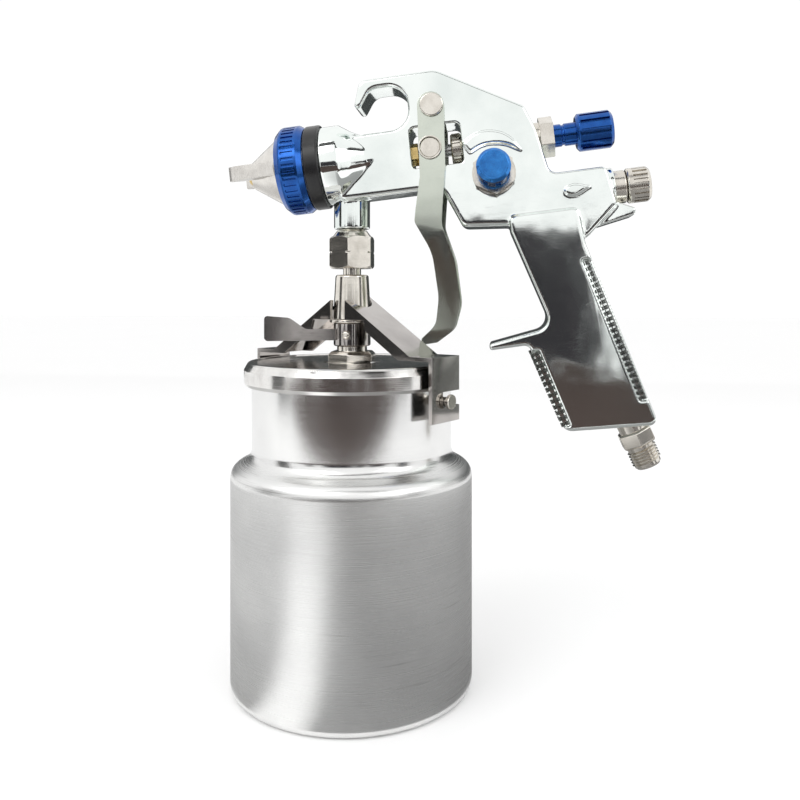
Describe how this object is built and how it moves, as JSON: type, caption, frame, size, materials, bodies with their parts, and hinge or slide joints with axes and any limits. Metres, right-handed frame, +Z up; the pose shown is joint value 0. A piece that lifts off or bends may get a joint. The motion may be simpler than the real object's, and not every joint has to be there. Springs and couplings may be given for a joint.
{
  "type": "spray gun",
  "caption": "Suction-feed HVLP spray gun on a one-litre cup: air cap, trigger, needle, fluid, fan and air controls, clamped lid and air inlet.",
  "frame": {"origin": "centre of the cup's base, on the surface it stands on", "axes": "+Z up along the cup's axis, +X from the air cap towards the handle, +Y away from the fan control"},
  "size_m": [0.1939, 0.11, 0.2757],
  "materials": {
    "cup_aluminium": "satin turned aluminium, polished at the neck",
    "lid_metal": "bright polished",
    "body_chrome": "polished and chrome plated aluminium forging",
    "dark_chrome": "dark bright nickel plating",
    "nickel": "warm bright nickel plating",
    "brass": "turned brass, lightly tarnished",
    "cap_nickel": "satin nickel",
    "blue_anodised": "blue anodised",
    "black_plastic": "moulded",
    "steel": "turned steel",
    "seal": "moulded rubber",
    "ptfe": "turned white plastic"
  },
  "bodies": {
    "cup": {"cup_body": "cup_aluminium", "cup_studs": "nickel"},
    "lid": {"cup_lid": "lid_metal", "lid_gasket": "seal", "lid_gland": "nickel", "lid_locknut": "nickel", "stem_tube": "nickel", "stem_sleeve": "nickel", "pickup_tube": "steel", "pickup_strainer": "black_plastic"},
    "clamp_travel": {"thrust_washer": "nickel"},
    "lever": {"cam_lever": "dark_chrome", "lever_pin": "nickel"},
    "yoke": {"yoke": "dark_chrome"},
    "nut_travel": {"nut_thrust_ring": "brass"},
    "swivel_nut": {"swivel_nut": "nickel"},
    "gun": {"gun_body": "body_chrome", "air_baffle": "black_plastic", "baffle_ring": "black_plastic", "fluid_nozzle": "brass", "fluid_packing": "ptfe", "fluid_packing_nut": "brass", "air_packing_nut": "nickel", "valve_seat": "brass", "valve_spring": "steel", "needle_spring": "steel", "fluid_gland": "nickel", "fluid_stem": "blue_anodised", "fan_valve_body": "nickel", "air_valve_housing": "nickel", "air_inlet_nipple": "nickel", "pivot_screw": "nickel", "pivot_sleeve": "nickel"},
    "trigger": {"trigger": "body_chrome"},
    "trigger_bush": {"trigger_bush": "nickel", "bush_washers": "nickel"},
    "air_valve": {"valve_stem": "steel", "valve_seal": "seal"},
    "fluid_needle": {"fluid_needle": "steel", "needle_collar": "brass"},
    "fluid_travel": {"spring_seat": "brass"},
    "fluid_knob": {"fluid_knob": "blue_anodised"},
    "fan_travel": {"fan_oring": "seal"},
    "fan_knob": {"fan_knob": "blue_anodised"},
    "air_travel": {"air_oring": "seal"},
    "air_knob": {"air_knob": "nickel"},
    "ring_travel": {"cap_clip": "steel"},
    "air_cap_ring": {"air_cap_ring": "blue_anodised"},
    "air_cap": {"air_cap": "cap_nickel"}
  },
  "joints": [
    {"name": "lid_turn", "type": "hinge", "parent": "cup", "child": "lid", "pos_m": [0, 0, 0.143], "axis": [0, 0, 1], "range_deg": [-16, 0]},
    {"name": "clamp_lift", "type": "slide", "parent": "lid", "child": "clamp_travel", "axis": [0, 0, 1], "range_m": [-0.002, 0]},
    {"name": "lever_turn", "type": "hinge", "parent": "clamp_travel", "child": "lever", "pos_m": [0, 0, 0.158], "axis": [0, 0, 1], "range_deg": [0, 70]},
    {"name": "yoke_turn", "type": "hinge", "parent": "clamp_travel", "child": "yoke", "pos_m": [0, 0, 0.17], "axis": [0, 0, 1], "range_deg": [-16, 0]},
    {"name": "nut_slide", "type": "slide", "parent": "lid", "child": "nut_travel", "axis": [0, 0, 1], "range_m": [-0.0025, 0]},
    {"name": "nut_turn", "type": "hinge", "parent": "nut_travel", "child": "swivel_nut", "pos_m": [0, 0, 0.196], "axis": [0, 0, 1], "range_deg": [0, 720]},
    {"name": "gun_swivel", "type": "hinge", "parent": "lid", "child": "gun", "pos_m": [0, 0, 0.21], "axis": [0, 0, 1], "range_deg": [0, 90]},
    {"name": "trigger_pull", "type": "hinge", "parent": "gun", "child": "trigger", "pos_m": [0.03774, 0, 0.25932], "axis": [0, -1, 0], "range_deg": [0, 12], "stiffness_Nm_per_rad": 0.5, "springref_deg": -5.73},
    {"name": "bush_turn", "type": "hinge", "parent": "trigger", "child": "trigger_bush", "pos_m": [0.03716, 0, 0.24053], "axis": [0, -1, 0], "range_deg": [-12, 0]},
    {"name": "air_valve_slide", "type": "slide", "parent": "gun", "child": "air_valve", "axis": [0.9936, 0, 0.1132], "range_m": [0, 0.00395], "deforming": ["valve_spring"]},
    {"name": "needle_slide", "type": "slide", "parent": "gun", "child": "fluid_needle", "axis": [0.9936, 0, 0.1132], "range_m": [0, 0.00295], "deforming": ["needle_spring"]},
    {"name": "fluid_knob_slide", "type": "slide", "parent": "gun", "child": "fluid_travel", "axis": [0.9936, 0, 0.1132], "range_m": [0, 0.003]},
    {"name": "fluid_knob_turn", "type": "hinge", "parent": "fluid_travel", "child": "fluid_knob", "pos_m": [0.10433, 0, 0.24819], "axis": [0.9936, 0, 0.1132], "range_deg": [0, 1080]},
    {"name": "fan_knob_slide", "type": "slide", "parent": "gun", "child": "fan_travel", "axis": [0, 1, 0], "range_m": [0, 0.0025]},
    {"name": "fan_knob_turn", "type": "hinge", "parent": "fan_travel", "child": "fan_knob", "pos_m": [0.06504, 0, 0.22902], "axis": [0, 1, 0], "range_deg": [0, 900]},
    {"name": "air_knob_slide", "type": "slide", "parent": "gun", "child": "air_travel", "axis": [0.9936, 0, 0.1132], "range_m": [0, 0.0025]},
    {"name": "air_knob_turn", "type": "hinge", "parent": "air_travel", "child": "air_knob", "pos_m": [0.12717, 0, 0.22432], "axis": [-0.9936, 0, -0.1132], "range_deg": [-900, 0]},
    {"name": "ring_slide", "type": "slide", "parent": "gun", "child": "ring_travel", "axis": [-0.9936, 0, -0.1132], "range_m": [0, 0.004]},
    {"name": "ring_turn", "type": "hinge", "parent": "ring_travel", "child": "air_cap_ring", "pos_m": [-0.02484, 0, 0.23347], "axis": [-0.9936, 0, -0.1132], "range_deg": [0, 1440]},
    {"name": "cap_turn", "type": "hinge", "parent": "ring_travel", "child": "air_cap", "pos_m": [-0.02981, 0, 0.2329], "axis": [0.9936, 0, 0.1132], "range_deg": [-90, 90]}
  ],
  "couplings": [
    {"joint": "lever_turn", "follows": "clamp_lift", "rad_per_m": -610.87},
    {"joint": "nut_turn", "follows": "nut_slide", "rad_per_m": -5026.5},
    {"joint": "bush_turn", "follows": "trigger_pull", "ratio": -1},
    {"joint": "air_valve_slide", "follows": "trigger_pull", "m_per_rad": 0.018795},
    {"joint": "needle_slide", "follows": "trigger_pull", "m_per_rad": 0.01402},
    {"joint": "fluid_knob_turn", "follows": "fluid_knob_slide", "rad_per_m": 6283.2},
    {"joint": "fan_knob_turn", "follows": "fan_knob_slide", "rad_per_m": 6283.2},
    {"joint": "air_knob_turn", "follows": "air_knob_slide", "rad_per_m": -6283.2},
    {"joint": "ring_turn", "follows": "ring_slide", "rad_per_m": 6283.2}
  ]
}
